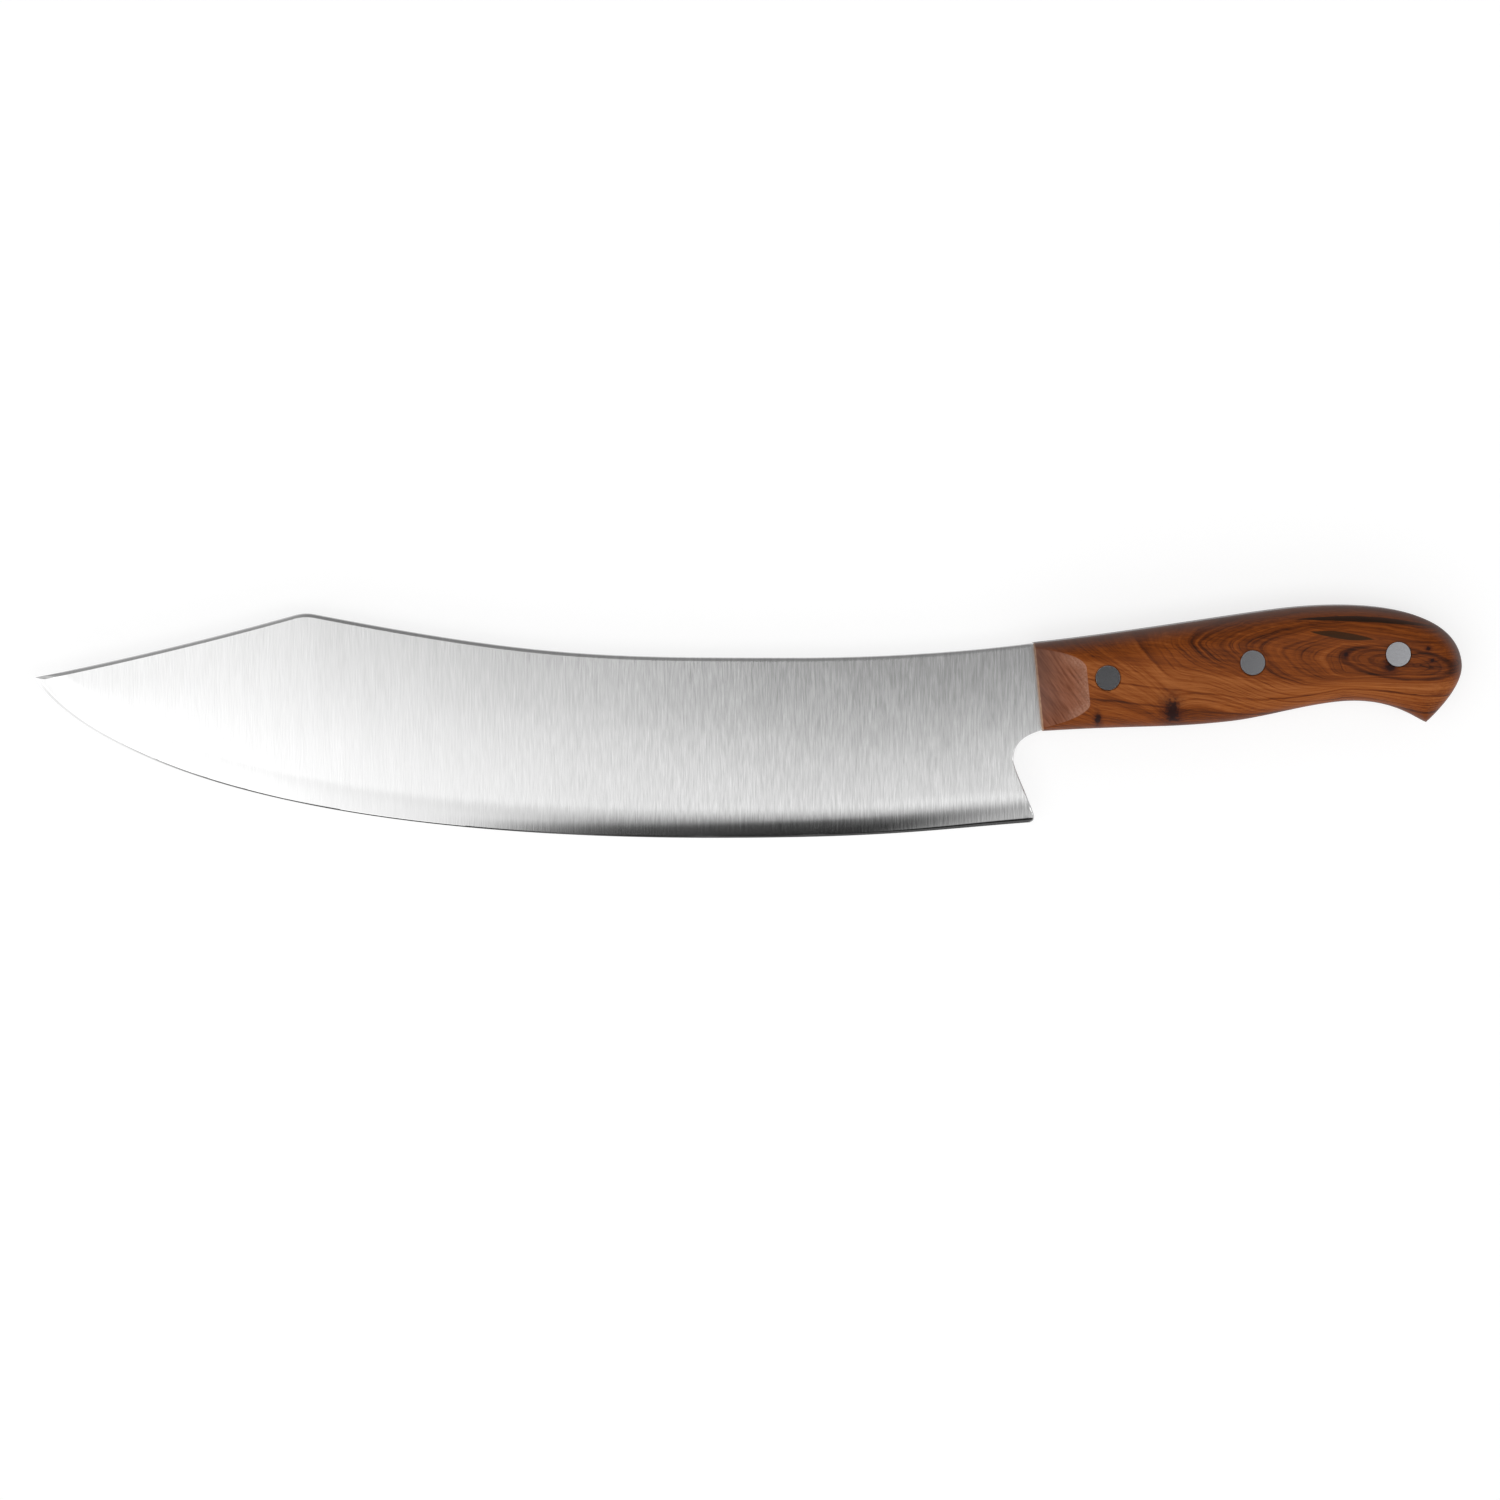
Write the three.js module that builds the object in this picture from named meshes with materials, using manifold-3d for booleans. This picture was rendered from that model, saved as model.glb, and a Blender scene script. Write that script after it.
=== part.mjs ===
import * as THREE from 'three';
import { mergeVertices } from 'three/addons/utils/BufferGeometryUtils.js';
import Module from 'manifold-3d';

const wasm = await Module();
wasm.setup();

// Blade outline, millimetres, measured from the middle of the handle's front line
const BLADE_LENGTH = 300.3;
const TIP_RISE = 3.2;
const HUMP_FROM_TIP = 81;
const HUMP_RISE = 22.8;
const HUMP_ROUNDING = 1.4;
const CLIP_HOLLOW = 0.8;
const SPINE_LOW_AHEAD = 71;
const SPINE_LOW_RISE = 9.2;
const EDGE_LOW_AHEAD = 97;
const EDGE_DROP = 45.1;
const BELLY_REACH = 22.5;
const HEEL_AHEAD = 0.2;
const HEEL_DROP = 40.3;
const HEEL_ROUNDING = 2.2;
const NOTCH_AHEAD = 7.1;
const NOTCH_DROP = 21.5;
const NOTCH_EASE = 1.5;

// Blade thickness and grind
const STOCK = 3.5;
const TIP_STOCK = 2;
const EDGE_STOCK = 1.8;
const BEVEL_HEIGHT = 10;
const MICRO_BEVEL_LEAD = 1;
const MICRO_BEVEL_SLOPE = 0.3;
const TANG_RUN = 60;
const SPINE_EASE = 1.1;
const SPINE_EASE_WIDTH = 0.85;
const EASE_RUN = 3.5;
const THINNEST_HALF = 0.2;

// Handle outline in the handle's own frame: x back from its front line, y toward the spine
const HANDLE_PITCH = 6;
const HANDLE_LENGTH = 126.7;
const FRONT_TOP = 13.7;
const FRONT_BOTTOM = 12.7;
const CREST_FROM_BUTT = 49.5;
const CREST_TOP = 16.15;
const BUTT_DROP = 5.5;
const BEAK_FROM_BUTT = 12.2;
const BEAK_DROP = 22;
const WAIST_FROM_BUTT = 38;
const WAIST_DROP = 13.15;
const BELLY_BACK = 55;
const BELLY_DROP = 15.65;

// Handle scales
const SCALE_THICKNESS = 8;
const SCALE_WALL = 1.2;
const GLUE_FILM = 0.02;
const TOP_ROUNDING = 8.8;
const BOTTOM_ROUNDING = 7.5;
const FACET_FRONT = 4.7;
const FACET_RUN = 14.8;

// Rivets and the clearances they are fitted with
const RIVET_HEAD = 7.6;
const RIVET_HEAD_THICKNESS = 2.2;
const RIVET_SHANK = 5;
const RIVET_PIN = 3.6;
const PIN_LENGTH = 11;
const SHANK_LENGTH = 12.4;
const FRONT_RIVET_BACK = 20.7;
const REAR_RIVET_FROM_BUTT = 19.4;
const FRONT_RIVET_RISE = 1.6;
const MIDDLE_RIVET_RISE = 1.6;
const REAR_RIVET_RISE = -0.4;
const HEAD_CLEARANCE = 0.06;
const SHANK_CLEARANCE = 0.12;
const TANG_CLEARANCE = 0.25;
const PIN_CLEARANCE = 0.06;
const BORE_SPARE = 1.2;
const DRILL_OVERRUN = 2;
const RIVET_SIDES = 28;

// Plane curve helpers
const at = (x, y) => new THREE.Vector2(x, y);

function pathThrough(...segments) {
  const path = new THREE.CurvePath();
  for (const points of segments) {
    path.add(points.length === 4
      ? new THREE.CubicBezierCurve(...points)
      : new THREE.QuadraticBezierCurve(...points));
  }
  return path;
}

// Height of a path at x, carried on straight past its two ends
function heightOn(path, x) {
  const first = path.getPoint(0);
  const last = path.getPoint(1);
  const way = Math.sign(last.x - first.x);
  if ((x - first.x) * way < 0) return carriedOn(first, path.getPoint(0.01), x);
  if ((x - last.x) * way > 0) return carriedOn(last, path.getPoint(0.99), x);
  let low = 0;
  let high = 1;
  for (let step = 0; step < 30; step += 1) {
    const middle = (low + high) / 2;
    if ((path.getPoint(middle).x - x) * way < 0) low = middle;
    else high = middle;
  }
  return path.getPoint((low + high) / 2).y;
}

function carriedOn(end, inner, x) {
  return end.y + ((x - end.x) * (inner.y - end.y)) / (inner.x - end.x);
}

function smoothMin(a, b, rounding) {
  const near = Math.max(rounding - Math.abs(a - b), 0) / rounding;
  return Math.min(a, b) - (near * near * rounding) / 4;
}

function distanceTo(polyline, p) {
  let best = Infinity;
  for (let i = 0; i + 1 < polyline.length; i += 1) {
    const span = polyline[i + 1].clone().sub(polyline[i]);
    const along = p.clone().sub(polyline[i]).dot(span) / span.lengthSq();
    const foot = polyline[i].clone().addScaledVector(span, THREE.MathUtils.clamp(along, 0, 1));
    best = Math.min(best, foot.distanceTo(p));
  }
  return best;
}

// Solid helpers
function solid(geometry) {
  const bare = geometry.clone();
  bare.deleteAttribute('normal');
  bare.deleteAttribute('uv');
  const merged = mergeVertices(bare, 1e-4);
  const corners = merged.index.array;
  const kept = [];
  for (let i = 0; i < corners.length; i += 3) {
    const [a, b, c] = corners.slice(i, i + 3);
    if (a !== b && b !== c && c !== a) kept.push(a, b, c);
  }
  const mesh = new wasm.Mesh({
    numProp: 3,
    vertProperties: new Float32Array(merged.attributes.position.array),
    triVerts: new Uint32Array(kept),
  });
  return new wasm.Manifold(mesh);
}

function geometryOf(manifold) {
  const mesh = manifold.getMesh();
  const geometry = new THREE.BufferGeometry();
  geometry.setAttribute('position', new THREE.BufferAttribute(mesh.vertProperties, 3));
  geometry.setIndex(new THREE.BufferAttribute(mesh.triVerts, 1));
  return geometry;
}

// Skin over rings of the same number of points, with a fan on the first and the last
function loft(rings) {
  const size = rings[0].length;
  const last = (rings.length - 1) * size;
  const index = [];
  for (let i = 0; i < last; i += size) {
    for (let j = 0; j < size; j += 1) {
      const a = i + j;
      const b = i + ((j + 1) % size);
      index.push(a, a + size, b, b, a + size, b + size);
    }
  }
  for (let j = 1; j + 1 < size; j += 1) {
    index.push(0, j, j + 1);
    index.push(last, last + j + 1, last + j);
  }
  const geometry = new THREE.BufferGeometry().setFromPoints(rings.flat());
  geometry.setIndex(index);
  return geometry;
}

// Turned solid about the z axis from radius and height pairs
function turned(profile) {
  const points = profile.map(([radius, height]) => at(radius, height));
  return new THREE.LatheGeometry(points, RIVET_SIDES).rotateX(Math.PI / 2);
}

// Handle outline
const crestX = HANDLE_LENGTH - CREST_FROM_BUTT;
const waistX = HANDLE_LENGTH - WAIST_FROM_BUTT;
const beakX = HANDLE_LENGTH - BEAK_FROM_BUTT;
const beak = at(beakX, -BEAK_DROP);

const handleTop = pathThrough([
  at(0, FRONT_TOP),
  at(0.36 * crestX, FRONT_TOP),
  at(0.82 * crestX, CREST_TOP),
  at(crestX, CREST_TOP),
]);

const handleButt = pathThrough(
  [
    at(crestX, CREST_TOP),
    at(crestX + 0.39 * CREST_FROM_BUTT, CREST_TOP),
    at(HANDLE_LENGTH, 0.77 * CREST_TOP),
    at(HANDLE_LENGTH, -BUTT_DROP),
  ],
  [
    at(HANDLE_LENGTH, -BUTT_DROP),
    at(HANDLE_LENGTH, -BUTT_DROP - 0.57 * BEAK_FROM_BUTT),
    beak,
  ],
);

const beakRun = beakX - waistX;
const beakRise = BEAK_DROP - WAIST_DROP;
const bellyRun = waistX - BELLY_BACK;

const handleBottom = pathThrough(
  [
    at(0, -FRONT_BOTTOM),
    at(0.55 * BELLY_BACK, -FRONT_BOTTOM - 0.44 * (BELLY_DROP - FRONT_BOTTOM)),
    at(0.64 * BELLY_BACK, -BELLY_DROP),
    at(BELLY_BACK, -BELLY_DROP),
  ],
  [
    at(BELLY_BACK, -BELLY_DROP),
    at(BELLY_BACK + 0.33 * bellyRun, -BELLY_DROP),
    at(waistX - 0.34 * bellyRun, -WAIST_DROP),
    at(waistX, -WAIST_DROP),
  ],
  [
    at(waistX, -WAIST_DROP),
    at(waistX + 0.63 * beakRun, -WAIST_DROP),
    at(beakX - 0.11 * beakRun, -BEAK_DROP + 0.12 * beakRise),
    beak,
  ],
);

// Pairs of outline points across the handle, upright at first, then fanned round the butt
const FRONT_RIBS = 22;
const BUTT_RIBS = 24;

function handleRibs() {
  const ribs = [];
  for (let i = 0; i < FRONT_RIBS; i += 1) {
    const x = (crestX * i) / FRONT_RIBS;
    ribs.push([at(x, heightOn(handleBottom, x)), at(x, heightOn(handleTop, x))]);
  }
  for (let i = 0; i <= BUTT_RIBS; i += 1) {
    const share = i / BUTT_RIBS;
    const x = crestX + (beakX - crestX) * share;
    const low = i === BUTT_RIBS ? beak.clone() : at(x, heightOn(handleBottom, x));
    ribs.push([low, handleButt.getPoint(share)]);
  }
  return ribs;
}

const ribs = handleRibs();

// Blade outline
const pitch = THREE.MathUtils.degToRad(HANDLE_PITCH);
const centre = at(0, 0);
const pitched = (p) => p.clone().rotateAround(centre, pitch);
const frontTop = pitched(ribs[0][1]);
const frontBottom = pitched(ribs[0][0]);
const tip = at(-BLADE_LENGTH, TIP_RISE);
const hump = at(-BLADE_LENGTH + HUMP_FROM_TIP, HUMP_RISE);
const spineLow = at(-SPINE_LOW_AHEAD, SPINE_LOW_RISE);
const edgeLow = at(-EDGE_LOW_AHEAD, -EDGE_DROP);
const heel = at(-HEEL_AHEAD, -HEEL_DROP);
const heelEdge = at(heel.x - HEEL_ROUNDING, heel.y - 0.06 * HEEL_ROUNDING);
const heelNotch = at(heel.x - 0.36 * HEEL_ROUNDING, heel.y + 1.2 * HEEL_ROUNDING);
const notch = at(-NOTCH_AHEAD, -NOTCH_DROP);
const spineRun = SPINE_LOW_AHEAD + frontTop.x;
const humpRun = spineLow.x - hump.x;
const edgeRun = EDGE_LOW_AHEAD + heelEdge.x;

const spine = pathThrough(
  [
    frontTop,
    at(frontTop.x - 0.45 * spineRun, frontTop.y - 0.06 * spineRun),
    at(spineLow.x + 0.1 * spineRun, spineLow.y),
    spineLow,
  ],
  [
    spineLow,
    at(spineLow.x - 0.4 * humpRun, spineLow.y),
    at(hump.x + 0.47 * humpRun, hump.y - 0.092 * humpRun),
    hump,
  ],
);

const clip = pathThrough([
  hump,
  at((hump.x + tip.x) / 2, (hump.y + tip.y) / 2 - 2 * CLIP_HOLLOW),
  tip,
]);

const edge = pathThrough(
  [
    heelEdge,
    at(heelEdge.x - 0.32 * edgeRun, heelEdge.y - 0.024 * edgeRun),
    at(edgeLow.x + 0.55 * edgeRun, edgeLow.y),
    edgeLow,
  ],
  [edgeLow, at(tip.x + BELLY_REACH, edgeLow.y), tip.clone(), tip],
);

const heelCorner = pathThrough([heelEdge, heel, heelNotch]);

const notchSide = pathThrough(
  [
    heelNotch,
    at(notch.x + 0.62 * (heelNotch.x - notch.x), notch.y + 0.6 * (heelNotch.y - notch.y)),
    at(notch.x, notch.y + 0.16 * (heelNotch.y - notch.y)),
    notch,
  ],
  [
    notch,
    at(notch.x, notch.y + 0.575 * (frontBottom.y - notch.y)),
    at(frontBottom.x + 0.62 * (notch.x - frontBottom.x), frontBottom.y - NOTCH_EASE),
    frontBottom,
  ],
);

const backAt = (x) => smoothMin(heightOn(spine, x), heightOn(clip, x), HUMP_ROUNDING);

// Blade thickness: planes on both flanks that ease to the full stock inside the handle
const tipThinning = (STOCK - TIP_STOCK) / 2 / BLADE_LENGTH;
const edgeThinning = (STOCK - EDGE_STOCK) / 2 / (FRONT_TOP + HEEL_DROP);

function flankHalf(p) {
  const plane = STOCK / 2 + tipThinning * p.x + edgeThinning * (p.y - FRONT_TOP);
  const back = p.clone().rotateAround(centre, -pitch).x;
  const full = THREE.MathUtils.smoothstep(back, 0, TANG_RUN);
  return THREE.MathUtils.lerp(Math.max(plane, THINNEST_HALF), STOCK / 2, full);
}

// The same with the convex bevel and the fine edge
function halfThickness(p) {
  const step = 0.5;
  const foot = heightOn(edge, p.x);
  const lean = (foot - heightOn(edge, p.x - step)) / step;
  const above = Math.max(p.y - foot, 0) / Math.hypot(1, lean);
  const rise = Math.min((above + MICRO_BEVEL_LEAD) / BEVEL_HEIGHT, 1);
  return Math.min(flankHalf(p) * rise * (2 - rise), MICRO_BEVEL_SLOPE * above);
}

// Drop of the spine's eased corners, which run out under the front of the scales
function easeAt(x, height) {
  const share = THREE.MathUtils.clamp((x - frontTop.x) / EASE_RUN, 0, 1);
  return Math.min(SPINE_EASE * (1 - share), 0.2 * height);
}

// One closed section of the blade between an edge point and a spine point
const FLANK_SHARES = [0, 0.011, 0.04, 0.09, 0.17, 0.5, 1];
const WALL_SHARES = [0.35, 0.7];
const EASE_SHARES = [0.5, 0];
const EASE_POWER = 1.3;

function bladeRing([low, high]) {
  const ease = easeAt(high.x, high.y - low.y);
  const shoulder = at(high.x, high.y - ease);
  const flank = FLANK_SHARES.map((share) => low.clone().lerp(shoulder, share));
  const left = flank.map((p) => new THREE.Vector3(p.x, p.y, halfThickness(p)));
  const foot = left[0];
  const head = left[left.length - 1];
  const width = Math.min(SPINE_EASE_WIDTH, 0.9 * head.z);
  const under = WALL_SHARES.map((share) => new THREE.Vector3(low.x, low.y, foot.z * share));
  const over = EASE_SHARES.map((share) => new THREE.Vector3(
    high.x,
    high.y - ease * share ** EASE_POWER,
    head.z - width * (1 - share),
  ));
  const side = [...under, ...left, ...over];
  const mirrored = side.map((p) => new THREE.Vector3(p.x, p.y, -p.z)).reverse();
  const first = new THREE.Vector3(low.x, low.y, 0);
  const top = new THREE.Vector3(high.x, high.y, 0);
  return [first, ...side, top, ...mirrored];
}

// Stations along the blade from the tip to the heel, round the notch and down the tang
const PAST_HUMP = 6;
const TIP_STATIONS = 20;
const BLADE_STATIONS = 22;
const HEEL_STATIONS = 3;
const NOTCH_STATIONS = 16;
const FAN_LEAD = 52;
const FAN_POWER = 1.6;

function bladeRibs() {
  const list = [];
  const spineEnd = -FAN_LEAD;
  const lean = (spineEnd - tip.x) / (heelEdge.x - tip.x);
  const bladeRib = (x) => {
    const back = tip.x + (x - tip.x) * lean;
    return [at(x, heightOn(edge, x)), at(back, backAt(back))];
  };
  const humpFoot = tip.x + (HUMP_FROM_TIP + PAST_HUMP) / lean;
  list.push([tip.clone(), tip.clone()]);
  for (let i = 1; i < TIP_STATIONS; i += 1) {
    list.push(bladeRib(tip.x + (humpFoot - tip.x) * (1 - (1 - i / TIP_STATIONS) ** 1.2)));
  }
  for (let i = 0; i < BLADE_STATIONS; i += 1) {
    list.push(bladeRib(humpFoot + ((heelEdge.x - humpFoot) * i) / BLADE_STATIONS));
  }
  const turns = HEEL_STATIONS + NOTCH_STATIONS;
  for (let i = 0; i < turns; i += 1) {
    const low = i < HEEL_STATIONS
      ? heelCorner.getPoint(i / HEEL_STATIONS)
      : notchSide.getPoint((i - HEEL_STATIONS) / NOTCH_STATIONS);
    const back = spineEnd + (frontTop.x - spineEnd) * (i / turns) ** FAN_POWER;
    list.push([low, at(back, backAt(back))]);
  }
  return [...list, ...ribs.map((pair) => pair.map(pitched))];
}

// Rivet places in the handle frame
const rearRivetX = HANDLE_LENGTH - REAR_RIVET_FROM_BUTT;
const rivetPlaces = {
  front: at(FRONT_RIVET_BACK, FRONT_RIVET_RISE),
  middle: at((FRONT_RIVET_BACK + rearRivetX) / 2, MIDDLE_RIVET_RISE),
  rear: at(rearRivetX, REAR_RIVET_RISE),
};

const halfGrip = STOCK / 2 + SCALE_THICKNESS;
const headFloor = halfGrip - RIVET_HEAD_THICKNESS;
const shankHole = RIVET_SHANK / 2 + SHANK_CLEARANCE;
const headHole = RIVET_HEAD / 2 + HEAD_CLEARANCE;
const tangHole = RIVET_SHANK / 2 + TANG_CLEARANCE;

// Drill for the tang and stepped drill for one scale, both standing on the z axis
const tangDrill = turned([[0, -STOCK], [tangHole, -STOCK], [tangHole, STOCK], [0, STOCK]]);
const scaleDrill = turned([
  [0, 0],
  [shankHole, 0],
  [shankHole, headFloor],
  [headHole, headFloor],
  [headHole, halfGrip + DRILL_OVERRUN],
  [0, halfGrip + DRILL_OVERRUN],
]);

function bladeGeometry() {
  let body = solid(loft(bladeRibs().map(bladeRing)));
  for (const place of Object.values(rivetPlaces)) {
    const spot = pitched(place);
    body = body.subtract(solid(tangDrill).translate([spot.x, spot.y, 0]));
  }
  return geometryOf(body);
}

// Handle scale: fitted to the tang, walled and rounded over outside, with a sloped front facet
const ROUNDING_SHARES = [0, 0.03, 0.1, 0.21, 0.36, 0.55, 0.78, 1];
const topLine = [...handleTop.getSpacedPoints(60), ...handleButt.getSpacedPoints(80).slice(1)];
const bottomLine = handleBottom.getSpacedPoints(120);

function scaleHeight(p) {
  const fromTop = distanceTo(topLine, p) / TOP_ROUNDING;
  const fromBottom = distanceTo(bottomLine, p) / BOTTOM_ROUNDING;
  const short = 1 - Math.min(fromTop, fromBottom, 1);
  return SCALE_WALL + (SCALE_THICKNESS - SCALE_WALL) * Math.sqrt(1 - short * short);
}

function scaleRing([low, high]) {
  const inner = (p) => new THREE.Vector3(p.x, p.y, flankHalf(pitched(p)) + GLUE_FILM);
  const span = low.distanceTo(high);
  const fit = Math.min(1, (0.98 * span) / (TOP_ROUNDING + BOTTOM_ROUNDING));
  const reach = span > 0 ? fit / span : 0;
  const rising = ROUNDING_SHARES.map((share) => share * BOTTOM_ROUNDING * reach);
  const falling = ROUNDING_SHARES.map((share) => 1 - share * TOP_ROUNDING * reach).reverse();
  const outer = [...rising, ...falling].map((share) => {
    const p = low.clone().lerp(high, share);
    return new THREE.Vector3(p.x, p.y, STOCK / 2 + scaleHeight(p));
  });
  return [inner(low), ...outer, inner(high)];
}

function facetCutter() {
  const slope = Math.atan2(SCALE_THICKNESS - FACET_FRONT, FACET_RUN);
  const width = 3 * (FRONT_TOP + FRONT_BOTTOM);
  const block = new THREE.BoxGeometry(4 * FACET_RUN, width, 2 * SCALE_THICKNESS);
  block.translate(0, 0, SCALE_THICKNESS).rotateY(-slope);
  return block.translate(0, 0, STOCK / 2 + FACET_FRONT);
}

function scaleGeometry(side) {
  let body = solid(loft(ribs.map(scaleRing))).subtract(solid(facetCutter()));
  for (const place of Object.values(rivetPlaces)) {
    body = body.subtract(solid(scaleDrill).translate([place.x, place.y, 0]));
  }
  return geometryOf(side > 0 ? body : body.mirror([0, 0, 1]));
}

// Rivet halves: a bored one pressed from the left and a pinned one from the right
const boreTop = -headFloor + PIN_LENGTH + BORE_SPARE;
const bore = RIVET_PIN / 2 + PIN_CLEARANCE;
const shankEnd = headFloor - SHANK_LENGTH;

const femaleProfile = [
  [0, boreTop],
  [bore, boreTop],
  [bore, shankEnd],
  [RIVET_SHANK / 2, shankEnd],
  [RIVET_SHANK / 2, headFloor],
  [RIVET_HEAD / 2, headFloor],
  [RIVET_HEAD / 2, halfGrip],
  [0, halfGrip],
];

const maleProfile = [
  [0, -halfGrip],
  [RIVET_HEAD / 2, -halfGrip],
  [RIVET_HEAD / 2, -headFloor],
  [RIVET_PIN / 2, -headFloor],
  [RIVET_PIN / 2, -headFloor + PIN_LENGTH],
  [0, -headFloor + PIN_LENGTH],
];

// Assembly
function piece(name, geometry, colour, roughness, metalness) {
  const material = new THREE.MeshStandardMaterial({ color: colour, roughness, metalness });
  const mesh = new THREE.Mesh(geometry, material);
  mesh.name = name;
  return mesh;
}

const knife = new THREE.Group();
knife.name = 'butcher_knife';
knife.add(piece('blade', bladeGeometry(), 0xc4c6c8, 0.35, 1));

const handle = new THREE.Group();
handle.name = 'handle';
handle.rotation.z = pitch;
handle.add(piece('scale_left', scaleGeometry(1), 0x7d4a2c, 0.55, 0));
handle.add(piece('scale_right', scaleGeometry(-1), 0x7d4a2c, 0.55, 0));

for (const [name, place] of Object.entries(rivetPlaces)) {
  const rivet = new THREE.Group();
  rivet.name = `rivet_${name}`;
  rivet.position.set(place.x, place.y, 0);
  const female = geometryOf(solid(turned(femaleProfile)));
  const male = geometryOf(solid(turned(maleProfile)));
  rivet.add(piece(`rivet_${name}_female`, female, 0xa9abad, 0.4, 1));
  rivet.add(piece(`rivet_${name}_male`, male, 0xa9abad, 0.4, 1));
  handle.add(rivet);
}

knife.add(handle);

// Origin at the bottom centre of the whole knife's box
const box = new THREE.Box3().setFromObject(knife, true);
const middle = box.getCenter(new THREE.Vector3());
knife.position.set(-middle.x, -middle.y, -box.min.z);
knife.updateMatrixWorld(true);

export default knife;
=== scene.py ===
import math

import bmesh
import bpy
import numpy as np
from mathutils import Matrix, Vector


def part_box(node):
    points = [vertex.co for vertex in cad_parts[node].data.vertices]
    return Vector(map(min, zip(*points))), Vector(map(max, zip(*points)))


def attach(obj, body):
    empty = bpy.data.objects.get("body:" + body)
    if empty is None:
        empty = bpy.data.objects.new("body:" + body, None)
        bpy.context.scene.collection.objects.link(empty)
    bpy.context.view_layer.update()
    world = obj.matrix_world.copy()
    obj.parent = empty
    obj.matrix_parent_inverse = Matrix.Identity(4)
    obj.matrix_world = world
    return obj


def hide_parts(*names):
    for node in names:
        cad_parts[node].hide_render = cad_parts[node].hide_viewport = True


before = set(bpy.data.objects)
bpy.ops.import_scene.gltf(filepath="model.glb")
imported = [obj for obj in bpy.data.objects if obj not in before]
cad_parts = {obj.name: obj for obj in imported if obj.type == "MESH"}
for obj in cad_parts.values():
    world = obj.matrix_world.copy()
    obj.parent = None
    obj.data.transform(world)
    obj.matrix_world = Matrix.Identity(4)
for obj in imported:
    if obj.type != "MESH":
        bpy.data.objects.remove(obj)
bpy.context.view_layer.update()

# Millimetres, measured from the middle of the handle's front line, as in the part's source
MM = 0.001
BLADE_LENGTH = 300.3
TIP_RISE = 3.2
HUMP_FROM_TIP = 81.0
HUMP_RISE = 22.8
HUMP_ROUNDING = 1.4
CLIP_HOLLOW = 0.8
SPINE_LOW_AHEAD = 71.0
SPINE_LOW_RISE = 9.2
EDGE_LOW_AHEAD = 97.0
EDGE_DROP = 45.1
BELLY_REACH = 22.5
HEEL_AHEAD = 0.2
HEEL_DROP = 40.3
HEEL_ROUNDING = 2.2
NOTCH_AHEAD = 7.1
NOTCH_DROP = 21.5
NOTCH_EASE = 1.5
FAN_LEAD = 52.0
FAN_POWER = 1.6

# Blade thickness and grind
STOCK = 3.5
TIP_STOCK = 2.0
EDGE_STOCK = 1.8
BEVEL_HEIGHT = 10.0
MICRO_BEVEL_LEAD = 1.0
MICRO_BEVEL_SLOPE = 0.3
TANG_RUN = 60.0
SPINE_EASE = 1.1
SPINE_EASE_WIDTH = 0.85
EASE_RUN = 3.5
EASE_POWER = 1.3
EASE_LIMIT = 0.2
EASE_WIDTH_LIMIT = 0.9
RIM_CHAMFER = 0.25
FLANK_BULGE = 0.12

# Handle outline in the handle's own frame: x back from its front line, y toward the spine
HANDLE_PITCH = math.radians(6)
HANDLE_LENGTH = 126.7
FRONT_TOP = 13.7
FRONT_BOTTOM = 12.7
CREST_FROM_BUTT = 49.5
CREST_TOP = 16.15
BUTT_DROP = 5.5
BEAK_FROM_BUTT = 12.2
BEAK_DROP = 22.0
WAIST_FROM_BUTT = 38.0
WAIST_DROP = 13.15
BELLY_BACK = 55.0
BELLY_DROP = 15.65

# Handle scales
SCALE_THICKNESS = 8.0
SCALE_WALL = 1.2
GLUE_FILM = 0.02
TOP_ROUNDING = 8.8
BOTTOM_ROUNDING = 7.5
ROUNDINGS_MEET = 0.12
ROUNDINGS_REACH = 0.98
FACET_FRONT = 4.7
FACET_RUN = 14.8
FACET_SOFTNESS = 0.25
FRONT_CHAMFER = 0.4

# Rivets
RIVET_HEAD = 7.6
RIVET_HEAD_THICKNESS = 2.2
RIVET_SHANK = 5.0
RIVET_CHAMFER = 0.18
HEAD_GAP = 0.09
DRILL_OVERRUN = 3.0
FRONT_RIVET_BACK = 20.7
REAR_RIVET_FROM_BUTT = 19.4
FRONT_RIVET_RISE = 1.6
MIDDLE_RIVET_RISE = 1.6
REAR_RIVET_RISE = -0.4

# Meshes: ribs along each outline, and steps across it that crowd together on the bevel
EDGE_RIBS = 260
TIP_CROWDING = 1.1
HEEL_RIBS = 10
NOTCH_RIBS = 48
TANG_RIBS = (60, 70)
SCALE_RIBS = (190, 120)
BEVEL_SHARES = (0, 0.004, 0.008, 0.0105, 0.013, 0.02, 0.03, 0.042, 0.056, 0.072, 0.09)
FLANK_SHARES = np.linspace(0.11, 1, 30)
RIM_STEPS = 7
ROUNDING_STEPS = 22
CROWN_STEPS = 18
RIVET_SIDES = 72
SLOPE_STEP = 0.5
WELD_DISTANCE = 1e-4
SLIVER_WIDTH = 1e-5
NEARLY_ZERO = 1e-9

# Angle between faces from which an edge looks sharp
BLADE_CREASE = math.radians(9)
SCALE_CREASE = math.radians(24)
RIVET_CREASE = math.radians(20)
PLAIN_CREASE = math.radians(30)

# Photograph: its size, its scale and the pixel at the middle of the handle's front line
PHOTO_SIZE = 1500
PHOTO_SCALE = 0.3
PHOTO_FRONT = (1037.0, 688.0)
CAMERA_DISTANCE = 1.4
CAMERA_LEAN = math.radians(5)
SENSOR = 36
FLOOR_HALF = 3
FLOOR_LIFT = 0.72

HALF_GRIP = STOCK / 2 + SCALE_THICKNESS


# Plane curves

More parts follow.
